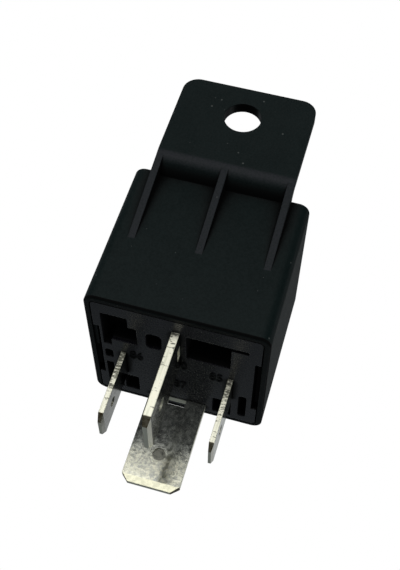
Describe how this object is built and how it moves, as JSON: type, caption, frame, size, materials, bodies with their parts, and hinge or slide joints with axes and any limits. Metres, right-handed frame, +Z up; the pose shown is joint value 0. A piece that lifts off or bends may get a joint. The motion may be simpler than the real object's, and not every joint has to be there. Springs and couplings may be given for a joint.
{
  "type": "automotive relay",
  "caption": "Square black plug-in relay for vehicles, with blade terminals below and a moulded screw bracket above; a coil and hinged armature switch the load.",
  "frame": {"origin": "centre of the bracket hole, on the bracket's panel face", "axes": "+Z up along the case, away from the terminals; +Y through the bracket hole, from the panel into the case; +X across the case"},
  "size_m": [0.0282, 0.0309, 0.0594],
  "materials": {
    "case_plastic": "satin black glass-filled nylon with a fine moulded grain",
    "base_plastic": "matt black glass-filled nylon",
    "tinned_metal": "dull tin plating over stamped brass strip",
    "relay_iron": "zinc-plated soft iron",
    "bobbin_nylon": "natural glass-filled nylon",
    "enamelled_wire": "clear enamel over copper wire",
    "spring_bronze": "rolled spring bronze",
    "contact_silver": "satin silver alloy",
    "spring_steel": "drawn spring wire",
    "copper_braid": "bare copper braid",
    "resistor_ceramic": "lacquered resistor body with plain colour rings"
  },
  "bodies": {
    "housing": {"cover": "case_plastic", "base": "base_plastic", "terminal_30": "tinned_metal", "terminal_87": "tinned_metal", "terminal_85": "tinned_metal", "terminal_86": "tinned_metal", "yoke": "relay_iron", "core": "relay_iron", "bobbin": "bobbin_nylon", "winding": "enamelled_wire", "coil_leads": "enamelled_wire", "fixed_contact": "contact_silver", "return_spring": "spring_steel", "braid": "copper_braid", "resistor": "resistor_ceramic", "resistor_leads": "tinned_metal"},
    "armature": {"armature": "relay_iron", "contact_spring": "spring_bronze", "armature_rivets": "spring_bronze", "moving_contact": "contact_silver"}
  },
  "joints": [
    {"name": "armature_hinge", "type": "hinge", "parent": "housing", "child": "armature", "pos_m": [0, 0.0077, -0.0178], "axis": [-1, 0, 0], "range_deg": [0, 3], "stiffness_Nm_per_rad": 0.002, "springref_deg": -57.3, "deforming": ["return_spring", "braid"]}
  ]
}
